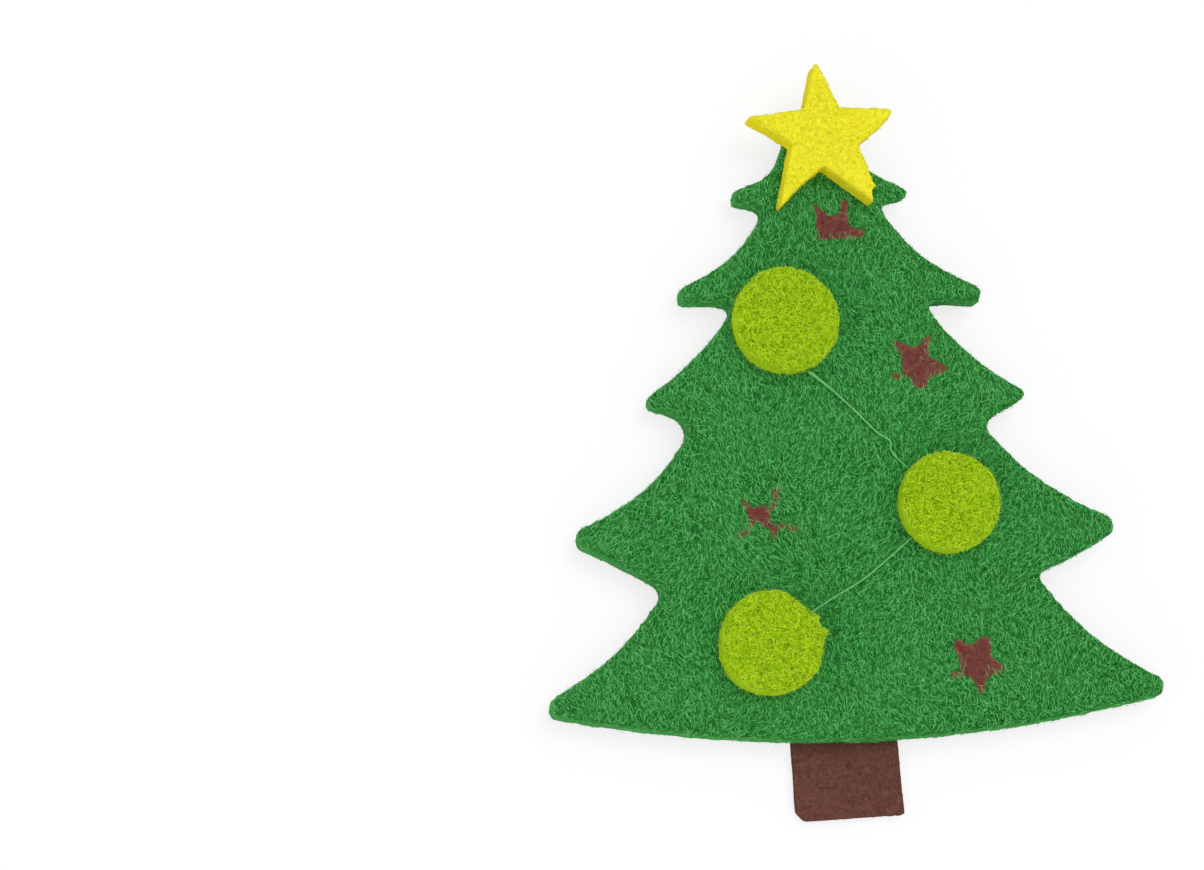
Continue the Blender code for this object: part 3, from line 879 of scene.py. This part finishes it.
# Outlines of the faint ink beside it
FAINT_INK = {
    "top": (),
    "right": (((-1.9, -0.9), (-3.8, -1.2), (-3.8, -2.0), (-1.9, -1.6)),),
    "left": (
        ((0.8, -0.4), (1.6, -1.3), (4.6, -1.5), (4.6, -0.8), (3.0, -0.1)),
        ((0.8, 1.5), (1.7, 1.6), (2.4, 2.8), (2.8, 4.4), (1.7, 4.4), (1.3, 3.0)),
        ((-2.0, -0.9), (-3.9, -1.6), (-3.9, -2.4), (-2.0, -1.6)),
    ),
    "base": (),
}


def print_middle(name):
    node = "print_star_" + name
    return outline_of(node, node_box(node)[1][2]).mean(axis=0)


def print_field(places):
    """The ink field at each place (n x 3): above 0 inside a print, less where the ink is faint."""
    field = np.full(len(places), -1.0)
    for name, middle in print_middles.items():
        near = np.linalg.norm(places[:, :2] - middle, axis=1) < PRINT_NEAR
        spots = places[near, :2] - middle
        depth = np.full(len(spots), -1.0)
        for loops, deepest in ((FULL_INK[name], INK_DEPTH), (FAINT_INK[name], FAINT_DEPTH)):
            for loop in loops:
                inside = np.clip(depth_in(np.array(loop), spots) + INK_SPREAD, -1, deepest)
                depth = np.maximum(depth, inside)
        streaks = np.array([noise.noise(Vector((x, y, STREAK_LAYER)) / STREAK_LENGTH) for x, y in spots])
        field[near] = np.maximum(field[near], depth + STREAK_WEAR[name] * streaks)
    return field


def inked_share(field):
    """How many of the fibres are inked: none at a print's edge and all of them a little way in."""
    return np.clip(field / FULL_DEPTH, 0, 1)


# The glue strings

# Each runs from bauble to bauble by the route of the frame's: its ends turned by these degrees from the
# straight run, and its stops at shares of that run, along it and to its left
STRING_RUNS = {"upper": ("upper", "middle"), "lower": ("middle", "lower")}
STRING_END_TURNS = {"upper": (-16, 5), "lower": (5, -1)}
STRING_ROUTE_SHARES = {
    "upper": ((0.22, 0.023), (0.44, 0.030), (0.65, 0.030), (0.76, 0.052), (0.81, 0.008), (0.89, -0.004)),
    "lower": ((0.18, 0.016), (0.43, 0.033), (0.57, 0.030), (0.79, 0.010)),
}

# The height of a string's middle, its radius, how far it clears the baubles, its sides, and the number
# of places from each of its stops to the next. Its radius varies by a share, over waves to the
# millimetre, and its height wavers. Each blob of glue has the share of the string's length where it
# lies, its half width as such a share, and its extra radius.
STRING_HEIGHT = 4.92
STRING_RADIUS = 0.112
STRING_CLEAR = 0.1
STRING_SIDES = 10
STRING_STEPS = 9
STRING_UNEVEN = 0.15
STRING_WAVES = 1.7
STRING_WAVER = 0.08
STRING_LAYER = 9.1
STRING_BLOBS = {
    "upper": ((0.0, 0.10, 0.14), (0.79, 0.02, 0.09), (0.95, 0.10, -0.035)),
    "lower": ((0.0, 0.03, 0.06), (1.0, 0.06, 0.10)),
}


def string_stops(name):
    first, last = STRING_RUNS[name]
    middles, radii = {}, {}
    for bauble in (first, last):
        low, high = node_box("bauble_" + bauble)
        middles[bauble] = (low + high)[:2] / 2
        radii[bauble] = (high - low)[0] / 2 + STRING_CLEAR
    ends = []
    for bauble, way, turn in zip((first, last), (1, -1), STRING_END_TURNS[name]):
        run = (middles[last] - middles[first]) * way
        angle = math.atan2(run[1], run[0]) + math.radians(turn)
        ends.append(middles[bauble] + radii[bauble] * np.array((math.cos(angle), math.sin(angle))))
    run = ends[1] - ends[0]
    left = np.array((-run[1], run[0]))
    stops = [ends[0] + along * run + aside * left for along, aside in STRING_ROUTE_SHARES[name]]
    return np.array([ends[0], *stops, ends[1]])


def string_line(stops):
    """A smooth line through the stops, as places in order."""
    around = [2 * stops[0] - stops[1], *stops, 2 * stops[-1] - stops[-2]]
    line = []
    for before, start, end, after in zip(around, around[1:], around[2:], around[3:]):
        out = start + (end - before) / 6
        back = end - (after - start) / 6
        corners = (Vector((*place, STRING_HEIGHT)) for place in (start, out, back, end))
        curve = interpolate_bezier(*corners, STRING_STEPS)
        line += [np.array(place) for place in curve[:-1]]
    line.append(np.array((*stops[-1], STRING_HEIGHT)))
    return np.array(line)


def make_string(name, material):
    line = string_line(string_stops(name))
    share = np.linspace(0, 1, len(line))
    uneven = np.array([noise.noise(Vector(place) * STRING_WAVES) for place in line])
    radii = STRING_RADIUS * (1 + STRING_UNEVEN * uneven)
    for middle, width, extra in STRING_BLOBS[name]:
        radii += extra * np.exp(-((share - middle) / width) ** 2)
    line[:, 2] += STRING_WAVER * np.array([noise.noise(Vector((x, y, STRING_LAYER))) for x, y, _ in line])
    along = unit(np.gradient(line, axis=0))
    side = unit(np.cross(along, (0, 0, 1)))
    up = np.cross(side, along)
    bm = bmesh.new()
    rings = []
    for place, radius, across, above in zip(line, radii, side, up):
        ring = []
        for k in range(STRING_SIDES):
            angle = 2 * math.pi * k / STRING_SIDES
            out = across * math.cos(angle) + above * math.sin(angle)
            ring.append(bm.verts.new((place + radius * out) * MM))
        rings.append(ring)
    for near, far in zip(rings, rings[1:]):
        for k in range(STRING_SIDES):
            after = (k + 1) % STRING_SIDES
            bm.faces.new((near[k], near[after], far[after], far[k]))
    bm.faces.new(rings[0])
    bm.faces.new(rings[-1][::-1])
    bmesh.ops.recalc_face_normals(bm, faces=bm.faces)
    mesh = bpy.data.meshes.new("string_of_glue_" + name)
    bm.to_mesh(mesh)
    bm.free()
    mesh.shade_smooth()
    piece = place_piece(mesh.name, mesh, material)
    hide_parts("glue_string_" + name)


# The pieces

def build_body(ground, fibres, loose):
    low, high = node_box("tree_body")
    back = low[2] - BODY_DROP
    front = high[2]
    outline = outline_of("tree_body", front)
    for corners in TIP_CUTS:
        outline = recut(outline, corners)
    felt = Felt("tree_felt", outline, back, front, BODY_VOXEL, BODY_ROUND, THICK_RELIEF, 1)
    spots = []
    for name in GLUE_SPOTS:
        pad_low, pad_high = node_box("glue_pad_" + name)
        centre = (pad_low + pad_high)[:2] / 2
        radius = (pad_high - pad_low)[0] / 2
        spots.append((centre, radius))
        felt.press(centre, radius + SPOT_CLEAR, front - pad_low[2] + SPOT_UNDER)
    felt.measure()
    felt.build(ground, "green_felt", "tree_body", ink=print_field)
    rng = np.random.default_rng(11)
    weights = facing(felt, front=1, back=0.25, wall=0.15)
    upper = felt.normals[:, 2] > 0
    for centre, radius in spots:
        near = np.linalg.norm(felt.centres[:, :2] - centre, axis=1) < radius + SPOT_BARE
        weights[near & upper] = 0
    share = inked_share(print_field(felt.centres))
    weights *= np.where(upper, 1 - (1 - LEFT_GREEN) * share, 1)
    place_fibres("tree_fibres", several_kinds(felt, weights, (DEEP_SHADED, TOP_LIT, LONG_LIT), rng), fibres)
    place_fibres("tree_rim_fibres", laid_fibres(felt, rim(felt, 0.5, 0.5), RIM, rng), loose)
    edge = facing(felt, front=0.02, back=0.02, wall=1) + rim(felt) * 2
    place_fibres("tree_fuzz", fuzz_fibres(felt, edge, TREE_FUZZ, rng), loose)
    return felt


def build_prints(felt, material):
    rng = np.random.default_rng(12)
    share = inked_share(print_field(felt.centres))
    for name, middle in print_middles.items():
        near = np.linalg.norm(felt.centres[:, :2] - middle, axis=1) < PRINT_NEAR
        weights = share * (near & (felt.normals[:, 2] > FLAT_UP))
        made = laid_fibres(felt, weights, INKED, rng)
        inside = print_field(made[0].reshape(-1, 3)).reshape(-1, STOPS).min(axis=1) > -FIBRE_OVERHANG
        mesh = fibre_mesh("printed_star_" + name, *(values[inside] for values in made))
        piece = place_piece(mesh.name, mesh, material)
        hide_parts("print_star_" + name)


def bauble_outline(name):
    """A circle as the frame has it, with the unevenness that the cutting left."""
    low, high = node_box("bauble_" + name)
    middle, radius = (low + high)[:2] / 2, (high - low)[0] / 2
    angles = np.arange(BAUBLE_POINTS) * 2 * math.pi / BAUBLE_POINTS
    reach = np.full(BAUBLE_POINTS, radius)
    for turn, width, height in BAUBLE_BUMPS[name]:
        off = (np.degrees(angles) - turn + 180) % 360 - 180
        reach += height * np.exp(-((off / width) ** 2))
    return middle + np.stack([np.cos(angles), np.sin(angles)], 1) * reach[:, None]


def build_bauble(name, seed, ground, fibres, loose):
    low, high = node_box("bauble_" + name)
    outline = bauble_outline(name)
    back = low[2] - BAUBLE_DROP
    felt = Felt("felt_bauble_" + name, outline, back, high[2], SMALL_VOXEL, BAUBLE_ROUND, THICK_RELIEF, seed)
    felt.build(ground, "lime_felt", "bauble_" + name)
    rng = np.random.default_rng(seed)
    weights = facing(felt, front=1, back=0.1, wall=0.1)
    laid = several_kinds(felt, weights, (SHORT_DEEP_SHADED, SHORT_TOP_LIT), rng)
    place_fibres(f"bauble_{name}_fibres", laid, fibres)
    place_fibres(f"bauble_{name}_rim_fibres", laid_fibres(felt, rim(felt), RIM, rng), loose)
    edge = rim(felt, upper=1, lower=1.5) + facing(felt, front=0.01, back=0, wall=0.2)
    place_fibres(f"bauble_{name}_fuzz", fuzz_fibres(felt, edge, BAUBLE_FUZZ, rng), loose)


def build_topper(ground, fibres, loose):
    low, high = node_box("topper_star")
    outline = recut(outline_of("topper_star", high[2]), STAR_LEG_CUT)
    back = low[2] - BAUBLE_DROP
    felt = Felt("felt_star", outline, back, high[2], SMALL_VOXEL, TOPPER_ROUND, THICK_RELIEF, 5)
    felt.build(ground, "yellow_felt", "topper_star")
    rng = np.random.default_rng(15)
    out = np.linalg.norm(felt.centres[:, :2] - (low + high)[:2] / 2, axis=1)
    fluffy = np.clip(TOPPER_FADE - out / TOPPER_MATTED, TOPPER_LEAST, 1)
    weights = facing(felt, front=1, back=0.1, wall=0.1) * fluffy
    laid = several_kinds(felt, weights, (SHORT_DEEP_SHADED, SHORT_TOP_LIT), rng)
    place_fibres("star_fibres", laid, fibres)
    place_fibres("star_rim_fibres", laid_fibres(felt, rim(felt), RIM, rng), loose)
    edge = rim(felt) + facing(felt, front=0.01, back=0, wall=0.4)
    place_fibres("star_fuzz", fuzz_fibres(felt, edge, STAR_FUZZ, rng), loose)


def build_trunk(ground, fibres):
    low, high = node_box("trunk")
    outline = outline_of("trunk", high[2])
    felt = Felt("trunk_felt", outline, low[2], high[2], TRUNK_VOXEL, TRUNK_ROUND, THIN_RELIEF, 6)
    felt.build(ground, "brown_felt", "trunk")
    rng = np.random.default_rng(16)
    weights = facing(felt, front=1, back=0.4, wall=0.8)
    place_fibres("trunk_fibres", laid_fibres(felt, weights, FLAT, rng), fibres)


def build_glue(material):
    """The hidden glue keeps its solids, and the strings are drawn anew."""
    for name in ("glue_strip_trunk", *("glue_pad_" + spot for spot in GLUE_SPOTS)):
        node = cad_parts[name]
        node.data.materials.clear()
        node.data.materials.append(material)
    for name in STRING_RUNS:
        make_string(name, material)


make_camera()
make_light()
make_floor()
print_middles = {name: print_middle(name) for name in FULL_INK}

# Each felt ground's colours are its depth in painted shade, its middle and light tones, and last its cut
# walls' painted light
green_ground = ground_material(
    "green_felt", (0.002, 0.045, 0.005), (0.020, 0.200, 0.026), (0.080, 0.400, 0.090), (0.065, 0.340, 0.070),
    printed=True,
)
# The fibre materials' dark tones are painted shade on the deep fibres, and their light tones are painted
# light on the top ones
green_fibres = fibre_material("green_fibres", (0.004, 0.085, 0.007), (0.200, 0.800, 0.238))
green_loose = fibre_material("green_loose_ends", (0.040, 0.320, 0.050), (0.170, 0.560, 0.180))
lime_ground = ground_material(
    "lime_felt", (0.110, 0.230, 0.001), (0.300, 0.520, 0.004), (0.480, 0.740, 0.016), (0.520, 0.760, 0.012),
)
lime_fibres = fibre_material("lime_fibres", (0.035, 0.105, 0.001), (0.740, 0.960, 0.045))
lime_loose = fibre_material("lime_loose_ends", (0.420, 0.680, 0.012), (0.680, 0.900, 0.060))
yellow_ground = ground_material(
    "yellow_felt", (0.700, 0.580, 0.004), (0.910, 0.870, 0.028), (0.950, 0.930, 0.060), (0.985, 0.815, 0.012),
    pits=0.35,
)
yellow_fibres = fibre_material("yellow_fibres", (0.700, 0.600, 0.006), (0.960, 0.950, 0.060))
# The yellow loose ends' golden dark tone is painted shade, as on the star's walls
yellow_loose = fibre_material("yellow_loose_ends", (0.920, 0.790, 0.012), (0.955, 0.915, 0.060))
brown_ground = ground_material(
    "brown_felt", (0.079, 0.029, 0.020), (0.145, 0.057, 0.043), (0.196, 0.086, 0.066), (0.112, 0.051, 0.039),
    pits=0.3,
)
brown_fibres = fibre_material("brown_fibres", (0.107, 0.041, 0.030), (0.202, 0.094, 0.074))
red_fibres = fibre_material("inked_fibres", (0.165, 0.032, 0.034), (0.400, 0.098, 0.100))
glue = glue_material("hot_melt_glue")

tree = build_body(green_ground, green_fibres, green_loose)
build_prints(tree, red_fibres)
for seed, name in enumerate(("upper", "middle", "lower"), 2):
    build_bauble(name, seed, lime_ground, lime_fibres, lime_loose)
build_topper(yellow_ground, yellow_fibres, yellow_loose)
build_trunk(brown_ground, brown_fibres)
build_glue(glue)

bpy.context.scene.view_settings.view_transform = "Standard"
